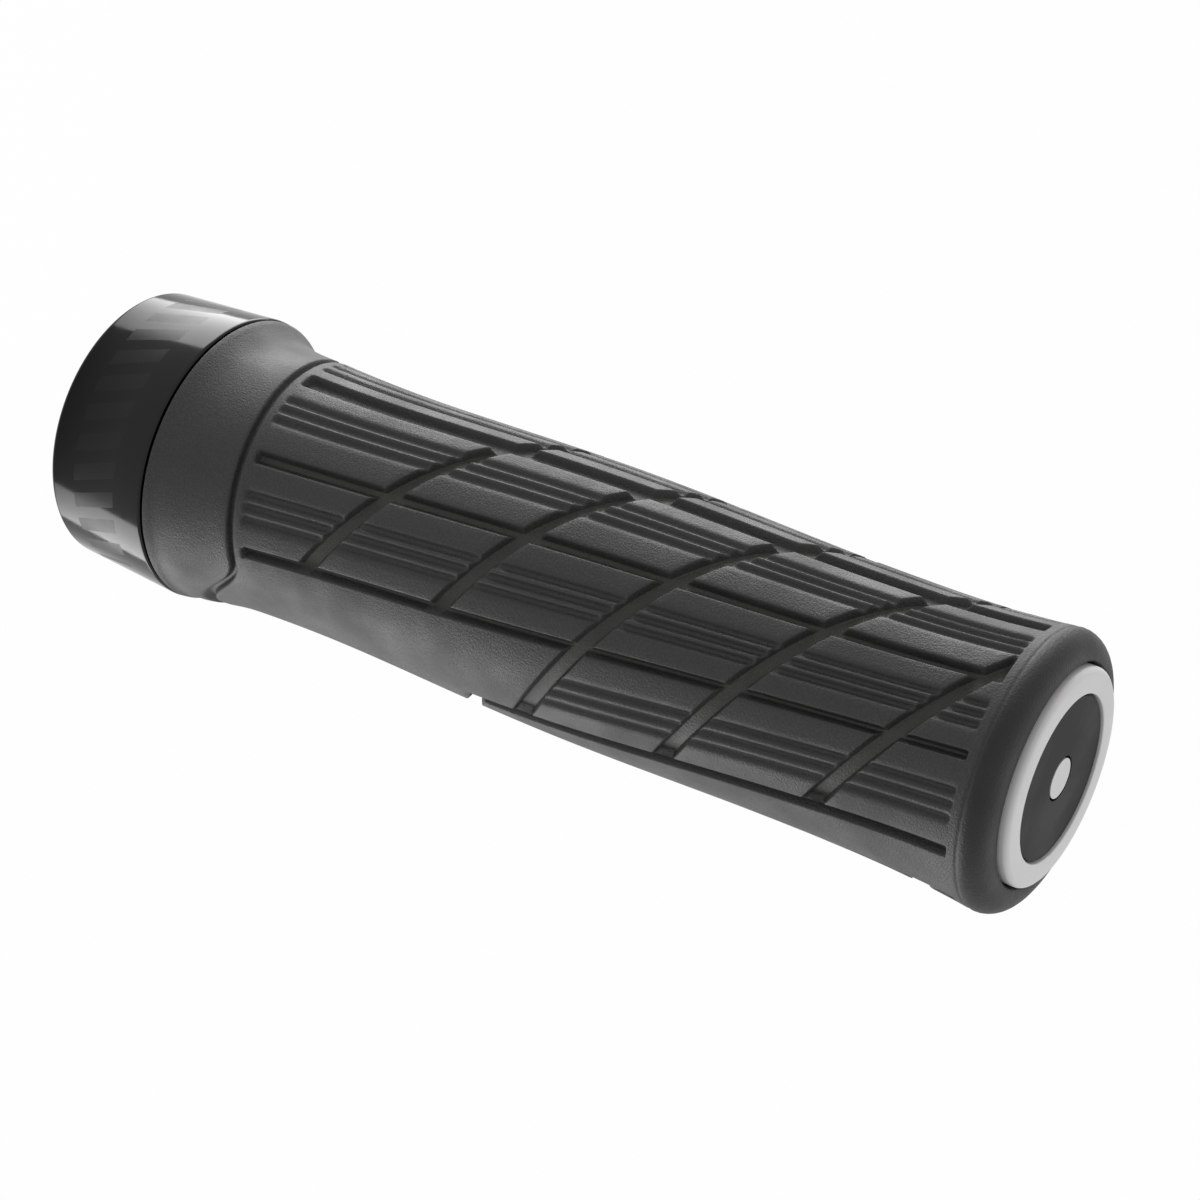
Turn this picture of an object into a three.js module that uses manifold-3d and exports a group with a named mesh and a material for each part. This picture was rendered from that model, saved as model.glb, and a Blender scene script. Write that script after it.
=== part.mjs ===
// A bicycle handlebar grip of the lock-on kind: a rubber body on a hard core sleeve, a split
// clamp ring with its screw at the inner end, and a plug in the outer end.
// Millimetres and degrees. +Z runs along the handlebar towards its outer end. The origin is the
// centre of the clamp ring's flat inner face, which the grip stands on. Angles round the grip are
// counted from -Y towards +X, which is from the rider's side of the bar over to its underside.
import * as THREE from 'three';
import { mergeVertices } from 'three/addons/utils/BufferGeometryUtils.js';
import Module from 'manifold-3d';

// Lengths along the bar
const gripLength = 131.4;
const ringLength = 15.1;
const fitGap = 0.3;
const shoulderLength = 1.2;
const bodyStart = 15.6;
const plugProud = 1;
const plugRingDepth = 2.2;
const spigotLength = 16;

// Round sizes
const barDiameter = 22.2;
const boreClearance = 0.1;
const sleeveWall = 1.15;
const shoulderRadius = 16.6;
const ringInnerEndRadius = 17.5;
const ringOuterEndRadius = 18.45;
const ringChamfer = 0.8;
const ringEdgeBreak = 0.35;
const gripRadius = 15.8;
const palmSwell = 0.75;
const palmSwellAt = 70;
const palmSwellReach = 36;
const flangeStep = 0.15;
const flangeFlareLength = 5.8;
const flangeFlarePower = 0.8;
const flangeEdgeRound = 0.35;
const rimRadius = 16.8;
const rimFlareLength = 18;
const rimFlarePower = 2.2;
const rimRound = 2.8;
const bodyLean = 0.3;
const bodyLeanFrom = 10;
const flangeLean = 0.5;
const flangeLeanAt = 18.8;
const flangeLeanReach = 7.2;

// Tread: rows that run along the grip, cut across by slanted channels
const treadEnd = 126;
const collarWidth = 1;
const channelDepth = 1.15;
const wallRun = 0.5;
const slantPitch = 18.2;
const slantAtFront = 81.8;
const slantWidth = 2.8;
const firstSlant = -2;
const slantTurnsPerGrip = 4;
const slantBow = 2;
const grooveDepth = 0.55;
const grooveHalfWidth = 0.55;
const rowTwist = -0.29;
const rowTwistSwing = -0.16;
const rowsMeasuredAt = 77;
const rows = [
  { from: -98, to: -62.5, grooves: [-88, -79, -71] },
  { from: -53, to: -19.5, grooves: [-43.5, -38.3, -33] },
  { from: -13.5, to: 19, grooves: [-2, 3, 8] },
  { from: 24, to: 63, grooves: [37.5, 43.7, 50] },
  { from: 69, to: 98, grooves: [] },
  { from: 103, to: 134, grooves: [114, 122] },
  { from: 140, to: 174, grooves: [152, 161] },
  { from: 180, to: 214, grooves: [192, 201] },
  { from: 220, to: 256, grooves: [234, 243] },
];
// This row starts as a plain thumb pad. The next one is plain all along, past a notch.
const padRow = 3;
const notchAt = 75.8;
const notchWidth = 2.2;

// Neck groove between the flange and the tread
const neckAtFront = 27.4;
const neckSlope = 0.02;
const neckUnder = 21.8;
const neckBend = { from: 46, to: 84 };
const neckReturn = { from: 200, to: 285 };
const neckGrooveWidth = 1.1;
const neckWider = 0.8;
const neckWidens = { from: 50, to: 78 };
const neckNarrows = { from: 100, to: 140 };
const neckGrooveDepth = 0.9;
const grooveWallRun = 0.3;

// Clamp screw and slit
const slitAngle = 104;
const slitWidth = 1.5;
const screwDiameter = 3;
const screwHeadDiameter = 5.2;
const screwHeadHeight = 2.5;
const screwKeySize = 2.5;
const screwKeyDepth = 1.6;
const screwLength = 7.5;
const screwHeadSeat = 1.9;

// Drive dogs that keep the sleeve from turning in the ring
const dogCount = 3;
const dogWidth = 4;
const dogHeight = 2;
const dogRadius = 14.6;
const dogFirstAngle = 20;

// Plug in the outer end
const plugRadius = 13;
const plugFieldRadius = 10;
const plugSeatDepth = 1.4;
const plugEdgeRound = 0.7;
const inlayRadius = 2.4;
const inlayDepth = 0.8;
const spigotRadius = 8.4;
const spigotBore = 6;
const spigotRibs = 6;
const spigotRibWidth = 1.6;
const spigotRibHeight = 0.8;

// Fineness
const roundSegments = 64;
const smallSegments = 24;
const boreSteps = 6;
const flareShares = [0.12, 0.3, 0.55];
const rimSteps = 4;
const edgeSteps = 2;
const crossingPasses = 12;

const wasm = await Module();
wasm.setup();

// Sizes that follow from the ones above
const boreRadius = barDiameter / 2 + boreClearance;
const sleeveRadius = boreRadius + sleeveWall;
const shoulderStart = ringLength + fitGap;
const plugSeat = gripLength - plugRingDepth;
const sleeveEnd = plugSeat - plugSeatDepth - fitGap;
const rubberEnd = gripLength - plugProud;
const rimAt = rubberEnd - rimRound;
const gripBore = sleeveRadius + fitGap;
const plugRecess = plugRadius + fitGap;
const shoulderPocket = shoulderRadius + fitGap;
const shoulderEnd = shoulderStart + shoulderLength;
const flangeRadius = ringOuterEndRadius - flangeStep;
const screwOffset = (boreRadius + (ringInnerEndRadius + ringOuterEndRadius) / 2) / 2;

const rad = THREE.MathUtils.degToRad;
const smooth = (value, from, to) => THREE.MathUtils.smoothstep(value, from, to);
const dogAngles = Array.from({ length: dogCount }, (_, dog) =>
  dogFirstAngle + dog * 360 / dogCount);

// A point of the grip from its angle, radius and place along the bar
function onGrip(angle, radius, z) {
  return new THREE.Vector3(radius * Math.sin(rad(angle)), -radius * Math.cos(rad(angle)), z);
}

// Materials
const finish = (color, roughness, metalness) =>
  new THREE.MeshStandardMaterial({ color, roughness, metalness });
const rubber = finish(0x2b2c2e, 0.75, 0);
const blackNylon = finish(0x1c1c1e, 0.55, 0);
const blackAnodised = finish(0x0c0c0d, 0.18, 0.6);
const blackSteel = finish(0x232326, 0.35, 0.9);
const whitePlastic = finish(0xcfcfd2, 0.4, 0);

function named(name, geometry, material) {
  geometry.computeVertexNormals();
  const mesh = new THREE.Mesh(geometry, material);
  mesh.name = name;
  return mesh;
}

// Joining and cutting
function solidOf(geometry) {
  const bare = geometry.clone();
  bare.deleteAttribute('normal');
  bare.deleteAttribute('uv');
  const merged = mergeVertices(bare, 1e-4);
  return new wasm.Manifold(new wasm.Mesh({
    numProp: 3,
    vertProperties: new Float32Array(merged.attributes.position.array),
    triVerts: new Uint32Array(merged.index.array),
  }));
}

function geometryOf(solid) {
  const mesh = solid.getMesh();
  const geometry = new THREE.BufferGeometry();
  geometry.setAttribute('position', new THREE.BufferAttribute(mesh.vertProperties, 3));
  geometry.setIndex(new THREE.BufferAttribute(mesh.triVerts, 1));
  return geometry;
}

// A solid of revolution about Z from [radius, z] points, in the order that turns its faces out
function turned(points, segments = roundSegments) {
  const closed = [...points, points[0]].map(([radius, z]) => new THREE.Vector2(radius, z));
  return new THREE.LatheGeometry(closed, segments).rotateX(Math.PI / 2);
}

// [radius, z] points of a quarter round from a round side in to a flat top
function quarterRound(radius, top, round, steps) {
  return Array.from({ length: steps + 1 }, (_, step) => {
    const turn = step / steps * Math.PI / 2;
    return [radius - round * (1 - Math.cos(turn)), top - round * (1 - Math.sin(turn))];
  });
}

// A round pin along +Y from y = 0
const pin = (radius, length, segments = smallSegments) =>
  new THREE.CylinderGeometry(radius, radius, length, segments).translate(0, length / 2, 0);

// A block between two radii and two heights, at an angle round the grip
function spoke(width, inner, outer, bottom, top, angle) {
  return solidOf(new THREE.BoxGeometry(width, outer - inner, top - bottom)
    .translate(0, -(inner + outer) / 2, (bottom + top) / 2)
    .rotateZ(rad(angle)));
}

// The body sits a little to the underside of the bar's axis, and its flange more so
function leanOut(z, angle) {
  const flange = smooth(z, bodyStart, flangeLeanAt)
    * (1 - smooth(z, flangeLeanAt, flangeLeanAt + flangeLeanReach));
  const body = smooth(z, bodyStart, bodyStart + bodyLeanFrom);
  return (bodyLean * body + flangeLean * flange) * Math.sin(rad(angle));
}

// The body's outer radius without its tread
function bodyRadius(z, angle) {
  const flareRun = Math.max(0, z - bodyStart) / flangeFlareLength;
  const flare = (flangeRadius - gripRadius) * Math.exp(-(flareRun ** flangeFlarePower));
  const swellTurn = THREE.MathUtils.clamp((z - palmSwellAt) / palmSwellReach, -1, 1);
  const swell = palmSwell * Math.cos(swellTurn * Math.PI / 2) ** 2;
  const rimShare = Math.max(0, (z - rimAt + rimFlareLength) / rimFlareLength);
  const rim = (rimRadius - gripRadius) * rimShare ** rimFlarePower;
  return gripRadius + flare + swell + rim + leanOut(z, angle);
}

// The tread rows twist round the grip, and the slanted channels rise across them
const angleOnRow = (row, z) =>
  row + (rowTwist + rowTwistSwing * Math.sin(rad(row))) * (z - rowsMeasuredAt);
const slantRise = (angle) =>
  -slantTurnsPerGrip * slantPitch * angle / 360 + slantBow * (1 - Math.cos(rad(angle)));

// How deep the tread is cut, from 0 on a block to 1 on a channel's floor
function wallShare(distance, halfWidth, run) {
  return THREE.MathUtils.clamp((halfWidth - Math.abs(distance)) / run, 0, 1);
}

const wallAngle = THREE.MathUtils.radToDeg(wallRun / gripRadius);
const grooveAngle = THREE.MathUtils.radToDeg(grooveHalfWidth / gripRadius);

function cutDepth(row, slant) {
  const turn = THREE.MathUtils.euclideanModulo(row - rows[0].from, 360) + rows[0].from;
  const place = slant + slantTurnsPerGrip * slantPitch * Math.round((row - turn) / 360);
  const nearest = Math.max(firstSlant, Math.round((place - slantAtFront) / slantPitch));
  let across = wallShare(place - slantAtFront - nearest * slantPitch, slantWidth / 2, wallRun);
  const [pad, strip] = rows.slice(padRow);
  const onPad = turn >= pad.from && turn <= pad.to && place < slantAtFront;
  if (onPad && place < slantAtFront - slantWidth / 2) return 0;
  if (turn > pad.to && turn <= strip.to) {
    if (place < notchAt - notchWidth / 2) return 0;
    across = wallShare(place - notchAt, notchWidth / 2, wallRun);
  }
  const on = rows.find(({ from, to }) => turn >= from && turn <= to);
  if (on) {
    const grooves = onPad ? [] : on.grooves;
    const fine = Math.max(0, ...grooves.map((groove) =>
      wallShare(turn - groove, grooveAngle, grooveAngle)));
    return Math.max(across * channelDepth, fine * grooveDepth);
  }
  const before = Math.max(...rows.map(({ to }) => to).filter((to) => to < turn));
  const after = Math.min(...rows.map(({ from }) => from).filter((from) => from > turn),
    rows[0].from + 360);
  const along = Math.min(1, (turn - before) / wallAngle, (after - turn) / wallAngle);
  return Math.max(across, along) * channelDepth;
}

// Where the tread starts: nearly square across the front, with a bend back on the underside
function treadStart(angle) {
  const turn = THREE.MathUtils.euclideanModulo(angle + 90, 360) - 90;
  const bend = smooth(turn, neckBend.from, neckBend.to);
  const back = smooth(turn, neckReturn.from, neckReturn.to);
  const front = neckAtFront + neckSlope * Math.min(turn, neckBend.to);
  const returned = neckAtFront + neckSlope * (turn - 360);
  const under = front + (neckUnder - front) * bend;
  return under + (returned - under) * back;
}

// The neck groove's width, which is greater where the groove bends back
function neckWidth(angle) {
  const turn = THREE.MathUtils.euclideanModulo(angle + 90, 360) - 90;
  const wide = smooth(turn, neckWidens.from, neckWidens.to)
    * (1 - smooth(turn, neckNarrows.from, neckNarrows.to));
  return neckGrooveWidth + neckWider * wide;
}

// Lines that run along the rows, one at each edge, foot and groove, and down a plain row's middle
function rowLines() {
  const lines = [];
  for (const { from, to, grooves } of rows) {
    lines.push(from - wallAngle, from);
    if (grooves.length === 0) lines.push((from + to) / 2);
    for (const groove of grooves) {
      lines.push(groove - grooveAngle, groove, groove + grooveAngle);
    }
    lines.push(to, to + wallAngle);
  }
  return lines;
}

// Lines that run along the slanted channels and the notch, enough of them to reach both ends all
// round. One turn round the grip, each line meets another of its kind.
function slantLines() {
  const edges = (centre, half) =>
    [centre - half, centre - half + wallRun, centre + half - wallRun, centre + half];
  const lines = [];
  const reach = slantTurnsPerGrip + Math.ceil(gripLength / slantPitch);
  for (let index = -reach; index <= reach; index += 1) {
    const centre = slantAtFront + index * slantPitch;
    lines.push(...edges(centre, slantWidth / 2), centre + slantPitch / 2);
    if (index % slantTurnsPerGrip === 0) {
      lines.push(...edges(notchAt + index * slantPitch, notchWidth / 2));
    }
  }
  return lines.sort((a, b) => a - b);
}

// One vertex of the tread: the crossing of a row line and a slant line, kept between the ends
function treadVertex(row, slant) {
  let z = slant;
  let angle = angleOnRow(row, z);
  for (let pass = 0; pass < crossingPasses; pass += 1) {
    z = THREE.MathUtils.clamp(slant + slantRise(angle),
      treadStart(angle) + collarWidth + wallRun, treadEnd - wallRun);
    angle = angleOnRow(row, z);
  }
  return onGrip(angle, bodyRadius(z, angle) - cutDepth(row, z - slantRise(angle)), z);
}

function rubberGrip() {
  const columns = rowLines();
  columns.push(columns[0] + 360);
  const plain = (radius, z) => (row) => onGrip(angleOnRow(row, z), radius, z);
  const body = (z) => (row) => {
    const angle = angleOnRow(row, z);
    return onGrip(angle, bodyRadius(z, angle), z);
  };
  const leaning = (radius, z) => (row) => {
    const angle = angleOnRow(row, z);
    return onGrip(angle, radius + leanOut(z, angle), z);
  };
  // Flange, fading into the neck groove, whose place changes round the grip
  const flare = flareShares.map((share) => (row) => {
    const angle = angleOnRow(row, bodyStart);
    const z = bodyStart + flangeEdgeRound + share * (treadStart(angle) - bodyStart);
    return onGrip(angle, bodyRadius(z, angle), z);
  });
  const neck = (before, depth) => (row) => {
    const angle = angleOnRow(row, neckAtFront);
    const z = treadStart(angle) - before(angle);
    return onGrip(angle, bodyRadius(z, angle) - depth, z);
  };
  // The bore follows the rows' twist back in short steps, so that it stays round
  const boreFrom = sleeveEnd + fitGap;
  const boreTo = shoulderEnd + fitGap;
  const bore = Array.from({ length: boreSteps + 1 }, (_, step) =>
    plain(gripBore, boreFrom + (boreTo - boreFrom) * step / boreSteps));
  const rings = [
    plain(shoulderPocket, boreTo),
    plain(shoulderPocket, bodyStart),
    plain(flangeRadius - flangeEdgeRound, bodyStart),
    plain(flangeRadius, bodyStart + flangeEdgeRound / 2),
    ...flare,
    neck(neckWidth, 0),
    neck((angle) => neckWidth(angle) - grooveWallRun, neckGrooveDepth),
    neck(() => grooveWallRun, neckGrooveDepth),
    neck(() => 0, 0),
    neck(() => -collarWidth, 0),
    ...slantLines().map((slant) => (row) => treadVertex(row, slant)),
    body(treadEnd),
    body((treadEnd + rimAt) / 2),
    ...quarterRound(rimRadius, rubberEnd, rimRound, rimSteps)
      .map(([radius, z]) => leaning(radius, z)),
    plain(plugRecess, rubberEnd),
    plain(plugRecess, sleeveEnd + fitGap),
    ...bore,
  ];
  const grid = rings.map((ring) => columns.map(ring));
  const corners = [];
  for (let ring = 0; ring < rings.length; ring += 1) {
    const next = grid[(ring + 1) % rings.length];
    for (let column = 0; column + 1 < columns.length; column += 1) {
      const [a, b] = [grid[ring][column], grid[ring][column + 1]];
      const [c, d] = [next[column], next[column + 1]];
      corners.push(a, b, c, b, d, c);
    }
  }
  const soup = new THREE.BufferGeometry().setFromPoints(corners);
  const merged = mergeVertices(soup, 1e-4);
  const index = [];
  for (let at = 0; at < merged.index.count; at += 3) {
    const [a, b, c] = merged.index.array.slice(at, at + 3);
    if (a !== b && b !== c && a !== c) index.push(a, b, c);
  }
  merged.setIndex(index);
  return merged;
}

// Hard sleeve: a tube with a shoulder at its inner end and dogs that reach into the ring
function coreSleeve() {
  let sleeve = solidOf(turned([
    [boreRadius, shoulderStart],
    [shoulderRadius, shoulderStart],
    [shoulderRadius, shoulderEnd],
    [sleeveRadius, shoulderEnd],
    [sleeveRadius, sleeveEnd],
    [boreRadius, sleeveEnd],
  ]));
  for (const angle of dogAngles) {
    sleeve = sleeve.add(spoke(dogWidth, boreRadius + fitGap, dogRadius,
      shoulderStart - dogHeight, shoulderStart + shoulderLength / 2, angle));
  }
  return geometryOf(sleeve);
}

// Places a pin on the screw's axis, which crosses the slit square to it
function atScrew(geometry, from) {
  return solidOf(geometry.rotateZ(-Math.PI / 2).translate(from, -screwOffset, ringLength / 2)
    .rotateZ(rad(slitAngle)));
}

function clampRing() {
  let ring = solidOf(turned([
    [boreRadius, 0],
    [ringInnerEndRadius - ringChamfer, 0],
    [ringInnerEndRadius, ringChamfer],
    [ringOuterEndRadius - ringEdgeBreak / 2, ringLength - ringEdgeBreak],
    [ringOuterEndRadius - ringEdgeBreak, ringLength],
    [boreRadius, ringLength],
  ]));
  const slit = spoke(slitWidth, boreRadius - fitGap, ringOuterEndRadius + fitGap,
    -fitGap, ringLength + fitGap, slitAngle);
  // The screw's head lies in a pocket that opens to the ring's surface
  const headRoom = screwHeadDiameter / 2 + fitGap;
  const seatFrom = screwHeadSeat - fitGap;
  const pocket = atScrew(pin(headRoom, ringOuterEndRadius), seatFrom);
  const mouth = solidOf(new THREE.BoxGeometry(ringOuterEndRadius, ringOuterEndRadius, headRoom * 2)
    .translate(seatFrom + ringOuterEndRadius / 2, -screwOffset - ringOuterEndRadius / 2,
      ringLength / 2)
    .rotateZ(rad(slitAngle)));
  const hole = atScrew(pin(screwDiameter / 2 + fitGap, screwLength + fitGap * 2),
    screwHeadSeat - screwLength - fitGap);
  ring = ring.subtract(slit).subtract(pocket).subtract(mouth).subtract(hole);
  for (const angle of dogAngles) {
    ring = ring.subtract(spoke(dogWidth + fitGap * 2, boreRadius - fitGap, dogRadius + fitGap,
      ringLength - dogHeight, ringLength + fitGap, angle));
  }
  return geometryOf(ring);
}

function clampScrew() {
  const head = atScrew(pin(screwHeadDiameter / 2, screwHeadHeight), screwHeadSeat);
  const shank = atScrew(pin(screwDiameter / 2, screwLength + screwHeadHeight / 2),
    screwHeadSeat - screwLength);
  const key = atScrew(pin(screwKeySize / Math.sqrt(3), screwKeyDepth * 2, 6),
    screwHeadSeat + screwHeadHeight - screwKeyDepth);
  return geometryOf(head.add(shank).subtract(key));
}

// Plug: a hollow ribbed spigot in the bar's end, a flange, and the dark field of its face
function endPlug() {
  const faceRadius = plugFieldRadius - fitGap;
  const flangeStart = plugSeat - plugSeatDepth;
  const spigotStart = flangeStart - spigotLength;
  const faceTop = gripLength - fitGap;
  let plug = solidOf(turned([
    [0, flangeStart],
    [spigotBore, flangeStart],
    [spigotBore, spigotStart],
    [spigotRadius, spigotStart],
    [spigotRadius + spigotRibHeight / 2, flangeStart],
    [plugRadius - fitGap, flangeStart],
    [plugRadius - fitGap, plugSeat - fitGap],
    [faceRadius, plugSeat - fitGap],
    [faceRadius, faceTop],
    [inlayRadius + fitGap, faceTop],
    [inlayRadius + fitGap, faceTop - inlayDepth],
    [0, faceTop - inlayDepth],
  ]));
  for (let rib = 0; rib < spigotRibs; rib += 1) {
    plug = plug.add(spoke(spigotRibWidth, spigotRadius - spigotRibHeight,
      spigotRadius + spigotRibHeight, spigotStart + spigotRibWidth, flangeStart,
      rib * 360 / spigotRibs));
  }
  return geometryOf(plug);
}

function plugRing() {
  return geometryOf(solidOf(turned([
    [plugFieldRadius, plugSeat],
    [plugRadius, plugSeat],
    ...quarterRound(plugRadius, gripLength, plugEdgeRound, edgeSteps),
    [plugFieldRadius, gripLength],
  ])));
}

function plugInlay() {
  const top = gripLength - fitGap;
  return geometryOf(solidOf(turned([
    [0, top - inlayDepth + fitGap],
    [inlayRadius, top - inlayDepth + fitGap],
    [inlayRadius, top],
    [0, top],
  ], smallSegments * 2)));
}

const grip = new THREE.Group();
grip.add(named('rubber_grip', rubberGrip(), rubber));
grip.add(named('core_sleeve', coreSleeve(), blackNylon));
grip.add(named('clamp_ring', clampRing(), blackAnodised));
grip.add(named('clamp_screw', clampScrew(), blackSteel));
grip.add(named('end_plug', endPlug(), blackNylon));
grip.add(named('plug_ring', plugRing(), whitePlastic));
grip.add(named('plug_inlay', plugInlay(), whitePlastic));
export default grip;
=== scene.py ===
import math

import bpy
import numpy as np
from mathutils import Matrix, Vector


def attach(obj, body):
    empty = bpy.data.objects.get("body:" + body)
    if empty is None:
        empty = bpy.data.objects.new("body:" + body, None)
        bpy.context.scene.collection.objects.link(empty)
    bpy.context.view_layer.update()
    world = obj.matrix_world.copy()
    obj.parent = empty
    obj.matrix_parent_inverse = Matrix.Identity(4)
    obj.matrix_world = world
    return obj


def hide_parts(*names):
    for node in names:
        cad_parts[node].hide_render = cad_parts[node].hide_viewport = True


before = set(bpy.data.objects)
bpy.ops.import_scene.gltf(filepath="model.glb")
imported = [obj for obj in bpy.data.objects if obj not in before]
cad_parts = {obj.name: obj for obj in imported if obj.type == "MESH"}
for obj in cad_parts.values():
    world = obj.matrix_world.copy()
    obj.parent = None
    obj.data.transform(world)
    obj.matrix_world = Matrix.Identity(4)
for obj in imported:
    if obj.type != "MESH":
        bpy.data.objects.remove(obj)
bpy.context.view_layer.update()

MM = 0.001

# Sizes in millimetres and degrees, as the solids have them. Angles round the grip are counted
# from -Y towards +X, and +Z runs out along the bar.
GRIP_LENGTH = 131.4
RING_LENGTH = 15.1
FIT_GAP = 0.3
SHOULDER_LENGTH = 1.2
BODY_START = 15.6
PLUG_PROUD = 1
PLUG_RING_DEPTH = 2.2
PLUG_SEAT_DEPTH = 1.4
BORE_RADIUS = 11.2
SLEEVE_WALL = 1.15
SHOULDER_RADIUS = 16.6
RING_INNER_END = 17.5
RING_OUTER_END = 18.45
RING_CHAMFER = 0.8
RING_EDGE_BREAK = 0.35
GRIP_RADIUS = 15.8
PALM_SWELL = 0.75
PALM_SWELL_AT = 70
PALM_SWELL_REACH = 36
FLANGE_STEP = 0.15
FLARE_LENGTH = 5.8
FLARE_POWER = 0.8
RIM_RADIUS = 16.8
RIM_FLARE = 18
RIM_FLARE_POWER = 2.2
RIM_ROUND = 2.8
BODY_LEAN = 0.3
BODY_LEAN_FROM = 10
FLANGE_LEAN = 0.5
FLANGE_LEAN_AT = 18.8
FLANGE_LEAN_REACH = 7.2
PLUG_RADIUS = 13
PLUG_FIELD_RADIUS = 10
PLUG_EDGE_ROUND = 0.7
MM_PER_DEGREE = math.radians(1) * GRIP_RADIUS
FLANGE_RADIUS = RING_OUTER_END - FLANGE_STEP
SLEEVE_RADIUS = BORE_RADIUS + SLEEVE_WALL
SHOULDER_END = RING_LENGTH + FIT_GAP + SHOULDER_LENGTH
PLUG_SEAT = GRIP_LENGTH - PLUG_RING_DEPTH
SLEEVE_END = PLUG_SEAT - PLUG_SEAT_DEPTH - FIT_GAP
RUBBER_END = GRIP_LENGTH - PLUG_PROUD
RIM_AT = RUBBER_END - RIM_ROUND

# Clamp ring's cuts
SLIT_ANGLE = 104
SLIT_WIDTH = 1.5
SCREW_OFFSET = (BORE_RADIUS + (RING_INNER_END + RING_OUTER_END) / 2) / 2
SCREW_RADIUS = 1.5
SCREW_HEAD_RADIUS = 2.6
SCREW_HEAD_SEAT = 1.9
SCREW_LENGTH = 7.5
DOG_ANGLES = (20, 140, 260)
DOG_WIDTH = 4
DOG_HEIGHT = 2
DOG_RADIUS = 14.6

# Tread. A row is its first angle, its last angle and its fine grooves' angles.
TREAD_END = 126
COLLAR = 1
CHANNEL_DEPTH = 1.15
WALL_RUN = 0.5
SLANT_PITCH = 18.2
SLANT_AT_FRONT = 81.8
SLANT_WIDTH = 2.8
FIRST_SLANT = -2
SLANT_TURNS = 4
SLANT_BOW = 2
TURN_RISE = SLANT_TURNS * SLANT_PITCH
GROOVE_DEPTH = 0.55
GROOVE_HALF = 0.55
TWIST = -0.29
TWIST_SWING = -0.16
MEASURED_AT = 77
ROWS = [
    (-98, -62.5, (-88, -79, -71)),
    (-53, -19.5, (-43.5, -38.3, -33)),
    (-13.5, 19, (-2, 3, 8)),
    (24, 63, (37.5, 43.7, 50)),
    (69, 98, ()),
    (103, 134, (114, 122)),
    (140, 174, (152, 161)),
    (180, 214, (192, 201)),
    (220, 256, (234, 243)),
]
PAD_ROW = 3
NOTCH_AT = 75.8
NOTCH_WIDTH = 2.2

# Neck groove
NECK_AT_FRONT = 27.4
NECK_SLOPE = 0.02
NECK_UNDER = 21.8
NECK_BEND = (46, 84)
NECK_RETURN = (200, 285)
NECK_WIDTH = 1.1
NECK_WIDER = 0.8
NECK_WIDENS = (50, 78)
NECK_NARROWS = (100, 140)
NECK_DEPTH = 0.9

# Edges that the scene alone has: a finer joint at the ring, small rounds, the rim's crease
LIP_FORWARD = 0.22
LIP_START = BODY_START - LIP_FORWARD
FLANGE_ROUND = 0.22
POCKET_EDGE = 0.1
WALL_SOFT = 0.12
END_WALL_SOFT = (-0.1, 1.05)
GROOVE_REACH = 1.25
GROOVE_RUN = 1.1
RIM_CREASE = 0.12
RIM_CREASE_BACK = 0.35
RIM_CREASE_REACH = 0.2
RIM_FACE_SHARE = 0.97
# How much wider the plug's recess is, and how deep that is below the rubber's end
RECESS_EDGE = ((0.25, 0), (0.1, 0.1), (0, 0.35))
PLUG_INNER_ROUND = 0.15

# Fineness of the rubber's mesh. Lines are given as shares of the form that they cross, and the
# neck's profile as shares of its width and of its depth.
ROW_STEP = 2.0
SLANT_STEP = 1.1
WALL_LINES = (-0.25, 0.0, 0.2, 0.5, 0.8, 1.0, 1.3)
GROOVE_LINES = (-1.35, -0.9, -0.55, -0.2, 0.2, 0.55, 0.9, 1.35)
END_WALL_LINES = (0.15, 0.4, 0.7)
COLLAR_LINES = (0.35, 0.7, 1.0)
NECK_PROFILE = ((-0.15, 0), (0.0, 0.04), (0.1, 0.35), (0.22, 0.85), (0.35, 1),
                (0.65, 1), (0.78, 0.85), (0.9, 0.35), (1.0, 0.04))
BORE_LINES = np.linspace(0, 1, 9)
LIP_LINES = np.linspace(0, 1, 5)
FLARE_LINES = np.linspace(0.06, 0.92, 16)
FLARE_LINES_END = 10
ROUND_LINES = np.linspace(0.12, 0.94, 9)
RIM_HEIGHTS = np.linspace(TREAD_END + 0.15, RIM_AT, 11)
SLANT_SPAN = range(-3, 3)
CLIP_ROUNDS = 14
CLIP_SNAP = 0.02
FLOOR_LIMIT = 1.2
SMOOTH_ANGLE = 35
CUT_RING_SMOOTH_ANGLE = 30

# Bars round the clamp ring
BARS_AT = 7.4
BARS_HEIGHT = 6.6
BAR_PITCH = 12.5
BAR_SHARE = 0.55
BAR_SLANT = 1.2
BARS_REACH = 75

# Colours
RUBBER_PLAIN = (0.03, 0.031, 0.029)
RUBBER_LOW = (0.022, 0.0235, 0.0215, 1)
RUBBER_HIGH = (0.040, 0.042, 0.038, 1)
RUBBER_WORN = (0.044, 0.045, 0.042, 1)
# A lighter tone for the channels' floors, which is a painted sheen
RUBBER_FLOOR_SHEEN = (0.062, 0.068, 0.056, 1)
RUBBER_RIM = (0.020, 0.0212, 0.0198, 1)
RING_BLACK = (0.003, 0.003, 0.003)
BAR_BLACK = (0.007, 0.007, 0.007, 1)
WHITE_PLASTIC = (0.68, 0.67, 0.67)
BLACK_STEEL = (0.05, 0.05, 0.055)
WHITE = (1, 1, 1, 1)

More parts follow.
